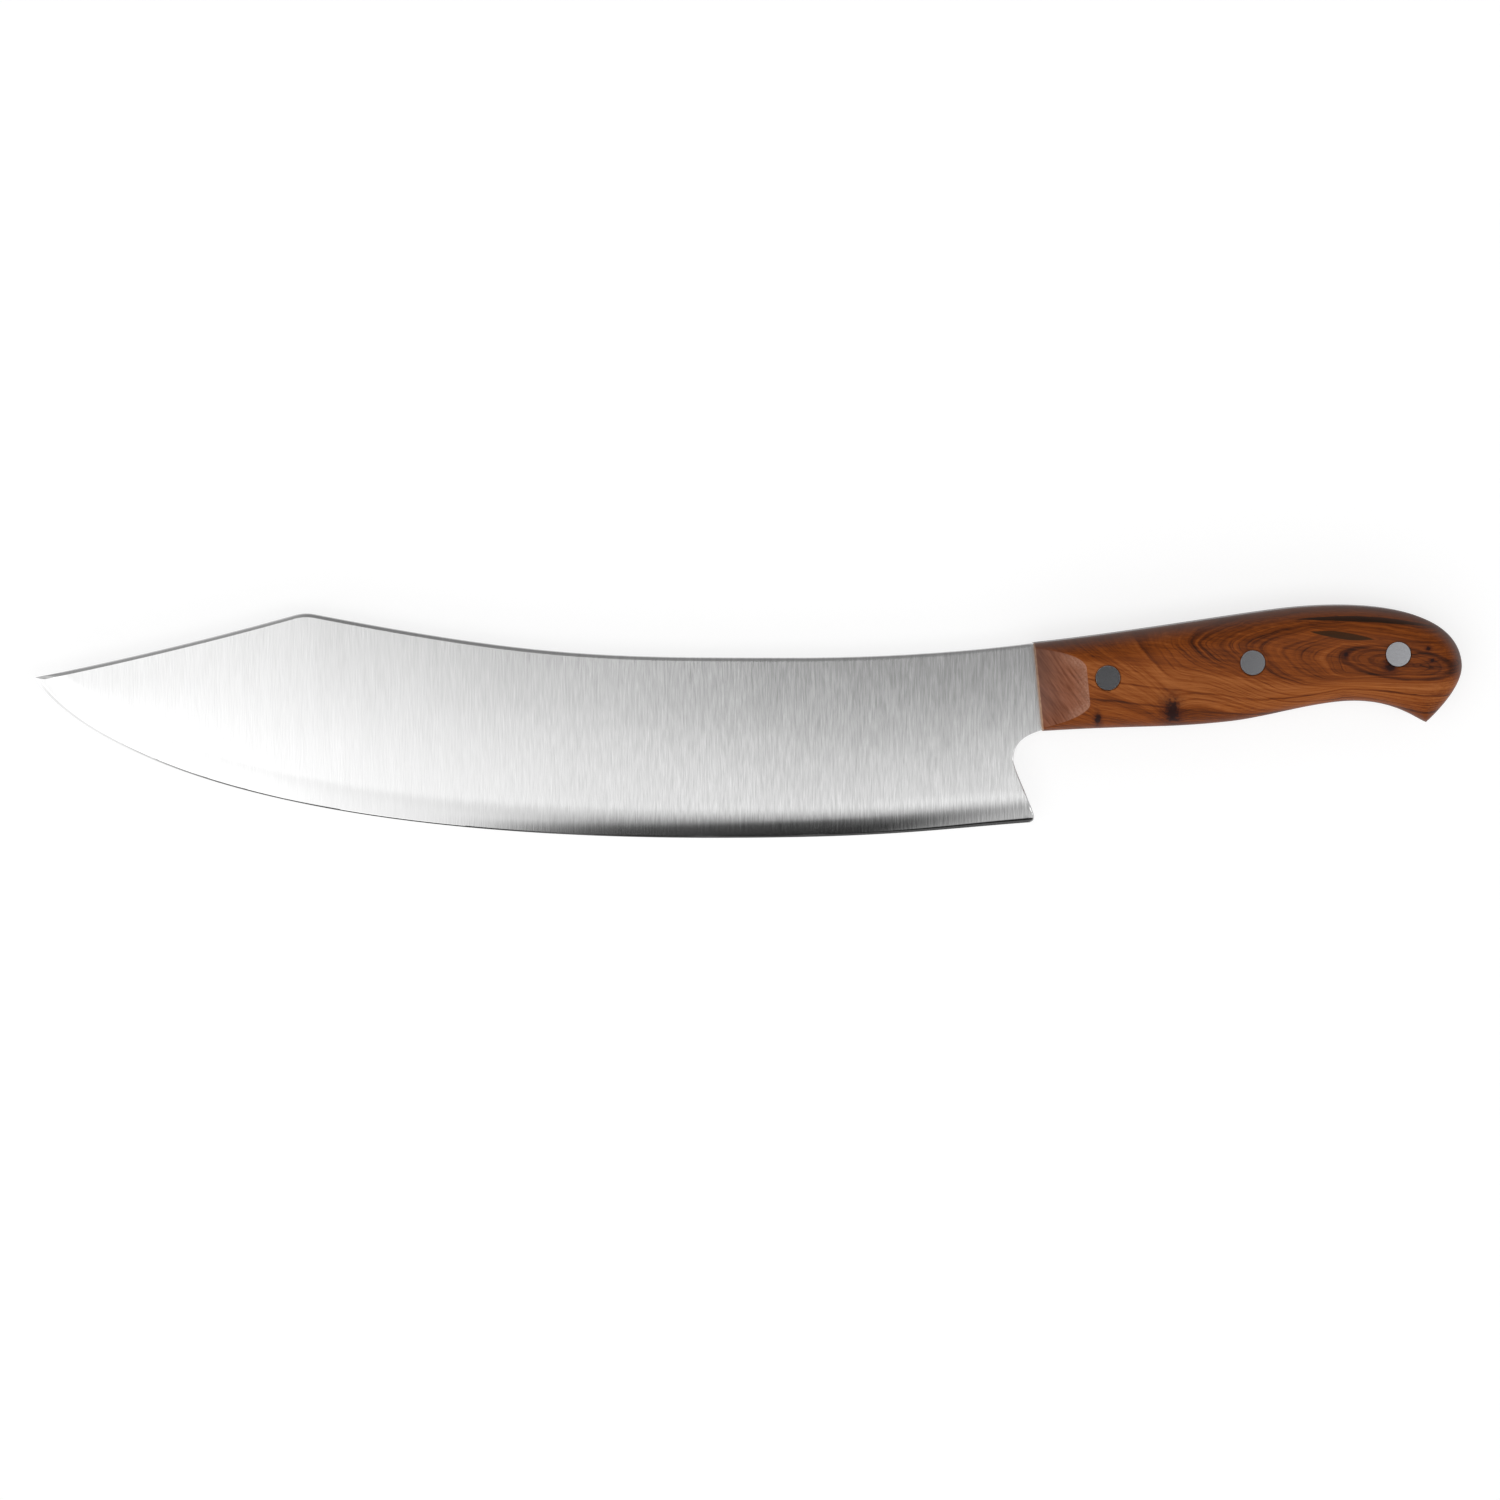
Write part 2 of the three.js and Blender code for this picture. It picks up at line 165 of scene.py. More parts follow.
class Path:
    """Bezier segments joined end to end, read by share of length or by x."""

    SAMPLES = 400

    def __init__(self, *segments):
        pieces = [self._sampled(np.array(s, float)) for s in segments]
        self.points = np.vstack([pieces[0]] + [p[1:] for p in pieces[1:]])
        steps = np.hypot(*np.diff(self.points, axis=0).T)
        self.shares = np.concatenate([[0], np.cumsum(steps)]) / steps.sum()

    def _sampled(self, control):
        t = np.linspace(0, 1, self.SAMPLES)[:, None]
        order = len(control) - 1
        return sum(
            math.comb(order, k) * (1 - t) ** (order - k) * t**k * control[k]
            for k in range(order + 1)
        )

    def at(self, share):
        x = np.interp(share, self.shares, self.points[:, 0])
        y = np.interp(share, self.shares, self.points[:, 1])
        return np.stack([x, y], axis=-1)

    def height(self, x):
        line = self.points if self.points[0, 0] < self.points[-1, 0] else self.points[::-1]
        y = np.interp(x, line[:, 0], line[:, 1])
        first, last = np.diff(line[:4:3], axis=0)[0], np.diff(line[-4::3], axis=0)[0]
        y = y + np.minimum(x - line[0, 0], 0) * first[1] / first[0]
        return y + np.maximum(x - line[-1, 0], 0) * last[1] / last[0]

    def distance(self, points):
        """Distance from points to the chords between every fifth sample."""
        line = self.points[::5]
        step = np.diff(line, axis=0)
        gap = points[..., None, :] - line[:-1]
        share = np.clip((gap * step).sum(-1) / (step**2).sum(-1), 0, 1)
        return np.linalg.norm(gap - share[..., None] * step, axis=-1).min(-1)


def smooth_min(a, b, rounding):
    near = np.maximum(rounding - np.abs(a - b), 0) / rounding
    return np.minimum(a, b) - near * near * rounding / 4


def smooth_step(x, low, high):
    t = np.clip((x - low) / (high - low), 0, 1)
    return t * t * (3 - 2 * t)


def turned(points, angle):
    c, s = math.cos(angle), math.sin(angle)
    x, y = points[..., 0], points[..., 1]
    return np.stack([c * x - s * y, s * x + c * y], axis=-1)


# Handle outline
crest_x = HANDLE_LENGTH - CREST_FROM_BUTT
waist_x = HANDLE_LENGTH - WAIST_FROM_BUTT
beak_x = HANDLE_LENGTH - BEAK_FROM_BUTT
beak = (beak_x, -BEAK_DROP)
beak_run = beak_x - waist_x
beak_rise = BEAK_DROP - WAIST_DROP
belly_run = waist_x - BELLY_BACK

handle_top = Path([
    (0, FRONT_TOP),
    (0.36 * crest_x, FRONT_TOP),
    (0.82 * crest_x, CREST_TOP),
    (crest_x, CREST_TOP),
])
handle_butt = Path(
    [
        (crest_x, CREST_TOP),
        (crest_x + 0.39 * CREST_FROM_BUTT, CREST_TOP),
        (HANDLE_LENGTH, 0.77 * CREST_TOP),
        (HANDLE_LENGTH, -BUTT_DROP),
    ],
    [
        (HANDLE_LENGTH, -BUTT_DROP),
        (HANDLE_LENGTH, -BUTT_DROP - 0.57 * BEAK_FROM_BUTT),
        beak,
    ],
)
handle_bottom = Path(
    [
        (0, -FRONT_BOTTOM),
        (0.55 * BELLY_BACK, -FRONT_BOTTOM - 0.44 * (BELLY_DROP - FRONT_BOTTOM)),
        (0.64 * BELLY_BACK, -BELLY_DROP),
        (BELLY_BACK, -BELLY_DROP),
    ],
    [
        (BELLY_BACK, -BELLY_DROP),
        (BELLY_BACK + 0.33 * belly_run, -BELLY_DROP),
        (waist_x - 0.34 * belly_run, -WAIST_DROP),
        (waist_x, -WAIST_DROP),
    ],
    [
        (waist_x, -WAIST_DROP),
        (waist_x + 0.63 * beak_run, -WAIST_DROP),
        (beak_x - 0.11 * beak_run, -BEAK_DROP + 0.12 * beak_rise),
        beak,
    ],
)


def handle_ribs(front_count, butt_count):
    """Pairs of outline points across the handle: upright, then fanned round the butt."""
    x = np.linspace(0, crest_x, front_count, endpoint=False)
    low = np.stack([x, handle_bottom.height(x)], axis=-1)
    high = np.stack([x, handle_top.height(x)], axis=-1)
    share = np.linspace(0, 1, butt_count)
    back = crest_x + (beak_x - crest_x) * share
    low_butt = np.stack([back, handle_bottom.height(back)], axis=-1)
    low_butt[-1] = beak
    return np.vstack([low, low_butt]), np.vstack([high, handle_butt.at(share)])


# Blade outline
front_top = turned(np.array([0, FRONT_TOP]), HANDLE_PITCH)
front_bottom = turned(np.array([0, -FRONT_BOTTOM]), HANDLE_PITCH)
tip = np.array([-BLADE_LENGTH, TIP_RISE])
hump = np.array([-BLADE_LENGTH + HUMP_FROM_TIP, HUMP_RISE])
spine_low = np.array([-SPINE_LOW_AHEAD, SPINE_LOW_RISE])
edge_low = np.array([-EDGE_LOW_AHEAD, -EDGE_DROP])
heel = np.array([-HEEL_AHEAD, -HEEL_DROP])
heel_edge = heel + HEEL_ROUNDING * np.array([-1, -0.06])
heel_notch = heel + HEEL_ROUNDING * np.array([-0.36, 1.2])
notch = np.array([-NOTCH_AHEAD, -NOTCH_DROP])
spine_run = SPINE_LOW_AHEAD + front_top[0]
hump_run = spine_low[0] - hump[0]
edge_run = EDGE_LOW_AHEAD + heel_edge[0]
notch_back = heel_notch - notch
notch_front = front_bottom - notch

spine = Path(
    [
        front_top,
        front_top - spine_run * np.array([0.45, 0.06]),
        spine_low + spine_run * np.array([0.1, 0]),
        spine_low,
    ],
    [
        spine_low,
        spine_low - hump_run * np.array([0.4, 0]),
        hump + hump_run * np.array([0.47, -0.092]),
        hump,
    ],
)
clip = Path([hump, (hump + tip) / 2 - np.array([0, 2 * CLIP_HOLLOW]), tip])
edge = Path(
    [
        heel_edge,
        heel_edge - edge_run * np.array([0.32, 0.024]),
        edge_low + edge_run * np.array([0.55, 0]),
        edge_low,
    ],
    [edge_low, (tip[0] + BELLY_REACH, edge_low[1]), tip, tip],
)
heel_corner = Path([heel_edge, heel, heel_notch])
notch_side = Path(
    [
        heel_notch,
        notch + notch_back * np.array([0.62, 0.6]),
        notch + notch_back * np.array([0, 0.16]),
        notch,
    ],
    [
        notch,
        notch + notch_front * np.array([0, 0.575]),
        front_bottom + np.array([-0.62 * notch_front[0], -NOTCH_EASE]),
        front_bottom,
    ],
)


def back_height(x):
    return smooth_min(spine.height(x), clip.height(x), HUMP_ROUNDING)


def half_thickness(points):
    """Half the blade's thickness: ground planes, convex bevel, fine edge, full stock in the tang."""
    x, y = points[..., 0], points[..., 1]
    tip_thinning = (STOCK - TIP_STOCK) / 2 / BLADE_LENGTH
    edge_thinning = (STOCK - EDGE_STOCK) / 2 / (FRONT_TOP + HEEL_DROP)
    plane = STOCK / 2 + tip_thinning * x + edge_thinning * (y - FRONT_TOP)
    foot = edge.height(x)
    lean = (foot - edge.height(x - SLOPE_STEP)) / SLOPE_STEP
    above = np.maximum(y - foot, 0) / np.hypot(1, lean)
    across = np.clip((y - foot) / np.maximum(back_height(x) - foot, 1e-6), 0, 1)
    plane = plane + FLANK_BULGE * 4 * across * (1 - across)
    full = smooth_step(turned(points, -HANDLE_PITCH)[..., 0], 0, TANG_RUN)
    flank = plane * (1 - full) + STOCK / 2 * full
    rise = np.minimum((above + MICRO_BEVEL_LEAD) / BEVEL_HEIGHT, 1)
    return np.minimum(flank * rise * (2 - rise), MICRO_BEVEL_SLOPE * above)


def blade_ribs():
    """Pairs of outline points from the tip to the heel, round the notch and down the tang."""
    spine_end = -FAN_LEAD
    lean = (spine_end - tip[0]) / (heel_edge[0] - tip[0])
    spread = np.linspace(0, 1, EDGE_RIBS, endpoint=False) ** TIP_CROWDING
    x = tip[0] + (heel_edge[0] - tip[0]) * spread
    back = tip[0] + (x - tip[0]) * lean
    low = [np.stack([x, edge.height(x)], axis=-1)]
    high = [np.stack([back, back_height(back)], axis=-1)]
    low[0][0] = high[0][0] = tip
    low.append(heel_corner.at(np.linspace(0, 1, HEEL_RIBS, endpoint=False)))
    low.append(notch_side.at(np.linspace(0, 1, NOTCH_RIBS, endpoint=False)))
    fan = np.linspace(0, 1, HEEL_RIBS + NOTCH_RIBS, endpoint=False) ** FAN_POWER
    back = spine_end + (front_top[0] - spine_end) * fan
    high.append(np.stack([back, back_height(back)], axis=-1))
    tang_low, tang_high = handle_ribs(*TANG_RIBS)
    low.append(turned(tang_low, HANDLE_PITCH))
    high.append(turned(tang_high, HANDLE_PITCH))
    return np.vstack(low), np.vstack(high)


def crossing(low, high):
    """Sine of the angle at which each rib leaves the outline."""
    along, rib = np.gradient(low, axis=0), high - low
    turn = np.abs(along[:, 0] * rib[:, 1] - along[:, 1] * rib[:, 0])
    return turn / (np.linalg.norm(along, axis=1) * np.linalg.norm(rib, axis=1) + NEARLY_ZERO)


def blade_rings():
    """Closed sections of the blade: under the edge, up the left flank, over the spine and back."""
    low, high = blade_ribs()
    tall = high[:, 1] - low[:, 1]
    run = np.clip((high[:, 0] - front_top[0]) / EASE_RUN, 0, 1)
    ease = np.minimum(SPINE_EASE * (1 - run), EASE_LIMIT * np.maximum(tall, 0))
    shoulder = high - np.stack([np.zeros_like(ease), ease], axis=-1)
    shares = np.concatenate([BEVEL_SHARES, FLANK_SHARES])
    flank = low[:, None] + (shoulder - low)[:, None] * shares[:, None]
    half = half_thickness(flank)
    depth = np.linalg.norm(flank - low[:, None], axis=-1) * crossing(low, shoulder)[:, None]
    half = np.minimum(half, np.maximum(half[:, :1] - RIM_CHAMFER, 0) + depth + NEARLY_ZERO)
    eased = np.linspace(1, 0, RIM_STEPS)[1:]
    width = np.minimum(SPINE_EASE_WIDTH, EASE_WIDTH_LIMIT * half[:, -1:])
    over_y = high[:, 1:] - ease[:, None] * np.append(eased**EASE_POWER, 0)
    over_z = np.append(half[:, -1:] - width * (1 - eased), 0 * width, axis=1)
    over = np.stack([np.broadcast_to(high[:, :1], over_y.shape), over_y, over_z], axis=-1)
    under_z = half[:, :1] * np.linspace(0, 1, RIM_STEPS, endpoint=False)
    under_xy = np.broadcast_to(low[:, None], (*under_z.shape, 2))
    under = np.concatenate([under_xy, under_z[..., None]], axis=-1)
    side = np.concatenate([under, np.concatenate([flank, half[..., None]], -1), over], axis=1)
    mirrored = side[:, -2:0:-1] * np.array([1, 1, -1])
    return np.concatenate([side, mirrored], axis=1)


def scale_height(points):
    """Height of a scale over the stock: rounded over at its rims, with the sloped facet in front."""
    from_top = np.minimum(handle_top.distance(points), handle_butt.distance(points))
    from_bottom = handle_bottom.distance(points)
    near = smooth_min(from_top / TOP_ROUNDING, from_bottom / BOTTOM_ROUNDING, ROUNDINGS_MEET)
    short = 1 - np.clip(near, 0, 1)
    dome = SCALE_WALL + (SCALE_THICKNESS - SCALE_WALL) * np.sqrt(1 - short * short)
    slope = (SCALE_THICKNESS - FACET_FRONT) / FACET_RUN
    facet = FACET_FRONT + slope * points[..., 0]
    return smooth_min(dome, facet, FACET_SOFTNESS)


def scale_rings():
    """Closed sections of the left scale, from its front to the butt."""
    low, high = handle_ribs(*SCALE_RIBS)
    span = np.linalg.norm(high - low, axis=1)
    bend = np.sin(np.linspace(0, math.pi / 2, ROUNDING_STEPS)) ** 2
    reach = np.minimum(1, ROUNDINGS_REACH * span / (TOP_ROUNDING + BOTTOM_ROUNDING))
    reach = reach / np.maximum(span, NEARLY_ZERO)
    rising = (reach * BOTTOM_ROUNDING)[:, None] * bend
    falling = 1 - (reach * TOP_ROUNDING)[:, None] * bend[::-1]
    crown = np.linspace(0, 1, CROWN_STEPS)[1:-1]
    middle = rising[:, -1:] + (falling[:, :1] - rising[:, -1:]) * crown
    shares = np.concatenate([rising, middle, falling], axis=1)
    outer = low[:, None] + (high - low)[:, None] * shares[..., None]
    height = scale_height(outer)
    height[0] = height[0] - FRONT_CHAMFER
    height[:, [0, -1]] = SCALE_WALL
    outer = np.concatenate([outer, (STOCK / 2 + height)[..., None]], -1)
    inner = np.stack([low, high], axis=1)
    depth = half_thickness(turned(inner, HANDLE_PITCH)) + GLUE_FILM
    inner = np.concatenate([inner, depth[..., None]], -1)
    return np.concatenate([inner[:, :1], outer, inner[:, 1:]], axis=1)


# Meshes

blade_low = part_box("blade")[0]
scale_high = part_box("scale_left")[1]
FRONT = Vector((
    blade_low.x + BLADE_LENGTH * MM,
    blade_low.y + EDGE_DROP * MM,
    scale_high.z - HALF_GRIP * MM,
))
BLADE_FRAME = Matrix.Translation(FRONT) @ Matrix.Scale(MM, 4)
HANDLE_FRAME = Matrix.Translation(FRONT) @ Matrix.Rotation(HANDLE_PITCH, 4, "Z") @ Matrix.Scale(MM, 4)


def placed(name, body, place, sharp_angle):
    """A new object from a bmesh in millimetres, in the row frame, with smooth shading."""
    bmesh.ops.remove_doubles(body, verts=body.verts, dist=WELD_DISTANCE)
    bmesh.ops.dissolve_degenerate(body, edges=body.edges, dist=SLIVER_WIDTH)
    bmesh.ops.recalc_face_normals(body, faces=body.faces)
    mesh = bpy.data.meshes.new(name)
    body.to_mesh(mesh)
    body.free()
    mesh.transform(place)
    mesh.shade_smooth()
    mesh.set_sharp_from_angle(angle=sharp_angle)
    piece = bpy.data.objects.new(name, mesh)
    bpy.context.scene.collection.objects.link(piece)
    return piece


def skinned(rings, cap_first=False):
    """A bmesh skin over rings of equal size."""
    count, size = rings.shape[:2]
    body = bmesh.new()
    verts = [body.verts.new(p) for p in rings.reshape(-1, 3)]
    for i in range(count - 1):
        for j in range(size):
            k = (j + 1) % size
            a, b = i * size + j, i * size + k
            body.faces.new((verts[a], verts[b], verts[b + size], verts[a + size]))
    if cap_first:
        body.faces.new(verts[:size])
    return body


def turned_body(profile, sides):
    """A bmesh turned about the z axis from radius and height pairs, closed on the axis."""
    rings = [
        [(r * math.cos(a), r * math.sin(a), z) for r, z in profile]
        for a in np.linspace(0, 2 * math.pi, sides, endpoint=False)
    ]
    body = bmesh.new()
    grid = [[body.verts.new(p) for p in ring] for ring in rings]
    for i in range(sides):
        here, there = grid[i], grid[(i + 1) % sides]
        for j in range(len(profile) - 1):
            body.faces.new((here[j], here[j + 1], there[j + 1], there[j]))
    return body


def cut(piece, cutters):
    """Takes the cutters out of a piece and deletes them."""
    for tool in cutters:
        step = piece.modifiers.new("cut", "BOOLEAN")
        step.operation = "DIFFERENCE"
        step.solver = "EXACT"
        step.object = tool
    graph = bpy.context.evaluated_depsgraph_get()
    result = bpy.data.meshes.new_from_object(piece.evaluated_get(graph))
    piece.modifiers.clear()
    piece.data = result
    for tool in cutters:
        bpy.data.objects.remove(tool)


def finished(piece, node, material):
    """Gives a piece its material and puts it in place of a CAD node."""
    piece.data.materials.clear()
    piece.data.materials.append(material)
    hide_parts(node)
    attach(piece, "root")


# Shader fields: sockets that can be added, multiplied and compared like numbers

class Field:
    def __init__(self, tree, socket):
        self.tree = tree
        self.socket = socket

    def _math(self, operation, *others, clamp=False):
        node = self.tree.nodes.new("ShaderNodeMath")
        node.operation = operation
        node.use_clamp = clamp
        for place, value in zip(node.inputs, (self, *others)):
            if isinstance(value, Field):
                self.tree.links.new(value.socket, place)
            else:
                place.default_value = value
        return Field(self.tree, node.outputs[0])

    def __add__(self, other):
        return self._math("ADD", other)

    def __sub__(self, other):
        return self._math("SUBTRACT", other)

    def __mul__(self, other):
        return self._math("MULTIPLY", other)

    def __truediv__(self, other):
        return self._math("DIVIDE", other)

    def __rtruediv__(self, other):
        return self.power(-1) * other

    def __neg__(self):
        return self._math("MULTIPLY", -1)

    __radd__ = __add__
    __rmul__ = __mul__

    def __rsub__(self, other):
        return -self + other

    def abs(self):
        return self._math("ABSOLUTE")

    def sqrt(self):
        return self._math("SQRT")

    def power(self, exponent):
        return self._math("POWER", exponent)

    def minimum(self, other):
        return self._math("MINIMUM", other)

    def maximum(self, other):
        return self._math("MAXIMUM", other)

    def clamped(self):
        return self._math("ADD", 0, clamp=True)

    def stepped(self, low, high):
        """0 at low, 1 at high, smooth between; low may lie above high."""
        node = self.tree.nodes.new("ShaderNodeMapRange")
        node.interpolation_type = "SMOOTHSTEP"
        rising = low < high
        node.inputs["From Min"].default_value = low if rising else high
        node.inputs["From Max"].default_value = high if rising else low
        node.inputs["To Min"].default_value = 0 if rising else 1
        node.inputs["To Max"].default_value = 1 if rising else 0
        self.tree.links.new(self.socket, node.inputs["Value"])
        return Field(self.tree, node.outputs[0])


def vector(*parts):
    tree = parts[0].tree
    node = tree.nodes.new("ShaderNodeCombineXYZ")
    for place, value in zip(node.inputs, parts):
        if isinstance(value, Field):
            tree.links.new(value.socket, place)
        else:
            place.default_value = value
    return node.outputs[0]


def noise(x, y, z, detail=2.0, roughness=0.5):
    """Noise about 0, from roughly -1 to 1."""
    node = x.tree.nodes.new("ShaderNodeTexNoise")
    node.inputs["Scale"].default_value = 1
    node.inputs["Detail"].default_value = detail
    node.inputs["Roughness"].default_value = roughness
    x.tree.links.new(vector(x, y, z), node.inputs["Vector"])
    return (Field(x.tree, node.outputs["Fac"]) - 0.5) * 2


def srgb(red, green, blue):
    def linear(value):
        c = value / 255
        return c / 12.92 if c <= 0.04045 else ((c + 0.055) / 1.055) ** 2.4
    return (linear(red), linear(green), linear(blue), 1)


def mixed(first, second, share):
    """Colour socket between two colours or sockets by a field."""
    tree = share.tree
    node = tree.nodes.new("ShaderNodeMix")
    node.data_type = "RGBA"
    node.clamp_factor = True
    tree.links.new(share.socket, node.inputs["Factor"])
    for place, colour in ((node.inputs[6], first), (node.inputs[7], second)):
        if isinstance(colour, tuple):
            place.default_value = colour
        else:
            tree.links.new(colour, place)
    return node.outputs[2]


def ramped(share, *stops):
    """Colour socket along a row of (place, colour) stops."""
    node = share.tree.nodes.new("ShaderNodeValToRGB")
    points = node.color_ramp.elements
    while len(points) < len(stops):
        points.new(0.5)
    for point, (place, colour) in zip(points, stops):
        point.position = place
        point.color = colour
    share.tree.links.new(share.socket, node.inputs["Fac"])
    return node.outputs["Color"]


def new_material(name):
    material = bpy.data.materials.new(name)
    material.use_nodes = True
    tree = material.node_tree
    return material, tree, tree.nodes["Principled BSDF"]


def millimetres(tree, place):
    """Coordinates in millimetres in the frame that place puts into the row."""
    coordinates = tree.nodes.new("ShaderNodeTexCoord")
    mapping = tree.nodes.new("ShaderNodeMapping")
    mapping.vector_type = "TEXTURE"
    mapping.inputs["Location"].default_value = place.to_translation()
    mapping.inputs["Rotation"].default_value = place.to_euler()
    mapping.inputs["Scale"].default_value = place.to_scale()
    tree.links.new(coordinates.outputs["Object"], mapping.inputs["Vector"])
    split = tree.nodes.new("ShaderNodeSeparateXYZ")
    tree.links.new(mapping.outputs["Vector"], split.inputs[0])
    return [Field(tree, out) for out in split.outputs]


def bumped(tree, shader, height, distance):
    node = tree.nodes.new("ShaderNodeBump")
    node.inputs["Distance"].default_value = distance
    node.inputs["Strength"].default_value = 1
    tree.links.new(height.socket, node.inputs["Height"])
    tree.links.new(node.outputs["Normal"], shader.inputs["Normal"])


# Materials

STEEL_DARK = (0.54, 0.54, 0.54, 1)
STEEL_BRIGHT = (0.84, 0.84, 0.84, 1)
TANG_SHADE_GREY = (0.2, 0.19, 0.19, 1)
RIVET_DARK = (0.5, 0.505, 0.53, 1)
RIVET_BRIGHT = (0.66, 0.665, 0.69, 1)
PAPER_GREY = (0.38, 0.38, 0.38, 1)
WHITE = (1, 1, 1, 1)
WOOD_TONES = (
    (0.0, srgb(44, 16, 1)),
    (0.3, srgb(90, 39, 5)),
    (0.6, srgb(136, 67, 16)),
    (1.0, srgb(180, 107, 52)),
)
LENS_BROWN = srgb(56, 31, 6)
STREAK_BROWN = srgb(32, 15, 1)
KNOT_HALO = srgb(66, 20, 4)
KNOT_CORE = srgb(30, 4, 3)
FACET_DARK = srgb(92, 42, 16)
FACET_PALE = srgb(166, 108, 82)
CREASE_GLINT = srgb(206, 158, 134)
FRONT_HIGHLIGHT = srgb(206, 168, 140)
RIM_SHEEN_GREY = srgb(108, 88, 83)
TOP_SHADE_BROWN = srgb(66, 40, 28)

# Brush lines: waves to the millimetre across and along them, where they fade, and their depth
BRUSH_PITCH = 2.4
BRUSH_RUN = 0.16
BRUSH_FADES = (-80, -200)
BRUSH_DEPTH = 0.000003
SATIN_ROUGHNESS = 0.165
HONED_SHARE = 0.4


def blade_steel():
    """Satin steel with fine brush lines across the blade."""
    material, tree, shader = new_material("blade_steel")
    x, y, z = millimetres(tree, BLADE_FRAME)
    tang = millimetres(tree, HANDLE_FRAME)[0].stepped(0.0, 0.5)
    fine = noise(x * BRUSH_PITCH, y * BRUSH_RUN, z * 0.2, roughness=0.7)
    broad = noise(x * 0.3, y * 0.03, z * 0.2)
    cloud = noise(x * 0.02, y * 0.03, z * 0.2)
    faint = x.stepped(*BRUSH_FADES)
    tone = 0.5 + fine * (0.65 - faint * 0.48) + broad * 0.1 + cloud * 0.12
    bright = mixed(STEEL_DARK, STEEL_BRIGHT, tone)
    # The tang's edges are painted shade: a dark grey standing in for the shaded floor that their
    # steel reflects
    tree.links.new(mixed(bright, TANG_SHADE_GREY, tang), shader.inputs["Base Color"])
    grind = tree.nodes.new("ShaderNodeUVMap")
    grind.uv_map = "grind"
    parts = tree.nodes.new("ShaderNodeSeparateXYZ")
    tree.links.new(grind.outputs[0], parts.inputs[0])
    above = Field(tree, parts.outputs["Y"])
    honed = (above + fine).stepped(BEVEL_HEIGHT, HONED_SHARE * BEVEL_HEIGHT)
    rough = SATIN_ROUGHNESS + fine * 0.02 + cloud * 0.01 - honed * 0.11 + tang * 0.28
    tree.links.new(rough.socket, shader.inputs["Roughness"])
    shader.inputs["Metallic"].default_value = 1
    shader.inputs["Anisotropic"].default_value = 0.6
    tangent = tree.nodes.new("ShaderNodeTangent")
    tangent.direction_type = "UV_MAP"
    tangent.uv_map = "brush"
    tree.links.new(tangent.outputs[0], shader.inputs["Tangent"])
    bumped(tree, shader, fine * (1 - honed * 0.7), BRUSH_DEPTH)
    return material


# Figure of each scale's wood, in millimetres: the heart of its arched grain and the seams below it.
# A lens or streak has its middle, half length, half width, slope and bow.
# A loop or knot has its middle and its two half widths.
FIGURE = {
    "left": {
        "heart": (66.0, 6.0),
        "seams": (-15.6, -21.2),
        "lens": (91.2, 6.9, 9.7, 1.1, 0.0, 0.0),
        "streak": (98.8, 10.9, 22.0, 0.85, 0.07, -0.0026),
        "loop": (107.1, -3.0, 16.7, 4.6),
        "knots": [
            (38.8, -10.4, 2.1, 3.5),
            (16.6, -10.3, 0.8, 1.7),
            (91.8, 1.4, 0.9, 0.8),
            (104.4, -3.9, 1.3, 1.2),
            (116.3, 0.3, 0.8, 0.7),
            (117.0, -3.2, 0.6, 0.5),
        ],
    },
    "right": {
        "heart": (48.0, -2.0),
        "seams": (-8.5, -13.0),
        "lens": (28.0, 5.5, 8.0, 0.8, 0.0, 0.0),
        "streak": (60.0, 11.0, 24.0, 0.8, 0.0, -0.0032),
        "loop": (92.0, 2.0, 14.0, 3.6),
        "knots": [
            (70.0, -9.0, 1.3, 1.7),
            (112.0, -9.0, 1.0, 0.8),
            (33.0, -8.5, 0.8, 1.1),
        ],
    },
}
GRAIN_LEAN = math.radians(-13)
ARCH_ABOVE = 0.95
ARCH_BELOW = 0.65
RING_SPACING = 0.65
ARCH_ROUNDING = 4.0
STRAIGHT_BEHIND = 26.0
HOLLOW_START = 60.0
HOLLOW_RUN = 30.0
HOLLOW_LIFT = 0.0078
DEPTH_LEAN = 0.35
SWAY_REACH = 4
KNOT_BEND = 1.4
KNOT_SPREAD = 0.16
WOOD_RELIEF = 0.00003
SCRATCH_DEPTH = 0.0000006


def leaning(u, v, centre):
    """Coordinates along and across the grain from a centre."""
    c, s = math.cos(GRAIN_LEAN), math.sin(GRAIN_LEAN)
    du, dv = u - centre[0], v - centre[1]
    return du * c + dv * s, dv * c - du * s


def knot_reach(u, v, knot):
    """Distance from a knot's middle in units of its radius."""
    du, dv = (u - knot[0]) / knot[2], (v - knot[1]) / knot[3]
    return (du * du + dv * dv).sqrt()


def facet_inside(u, v):
    """Above 0 on the flat facet at the scale's front, in shares of the rounding's width."""
    full = SCALE_THICKNESS - SCALE_WALL
    slope = (SCALE_THICKNESS - FACET_FRONT) / FACET_RUN
    level = ((u * slope + (FACET_FRONT - SCALE_WALL)) / full).minimum(1)
    border = 1 - (1 - level * level).sqrt()
    from_top = (FRONT_TOP - v) / TOP_ROUNDING
    from_bottom = (v + FRONT_BOTTOM) / BOTTOM_ROUNDING
    return from_top.minimum(from_bottom).minimum(1) - border


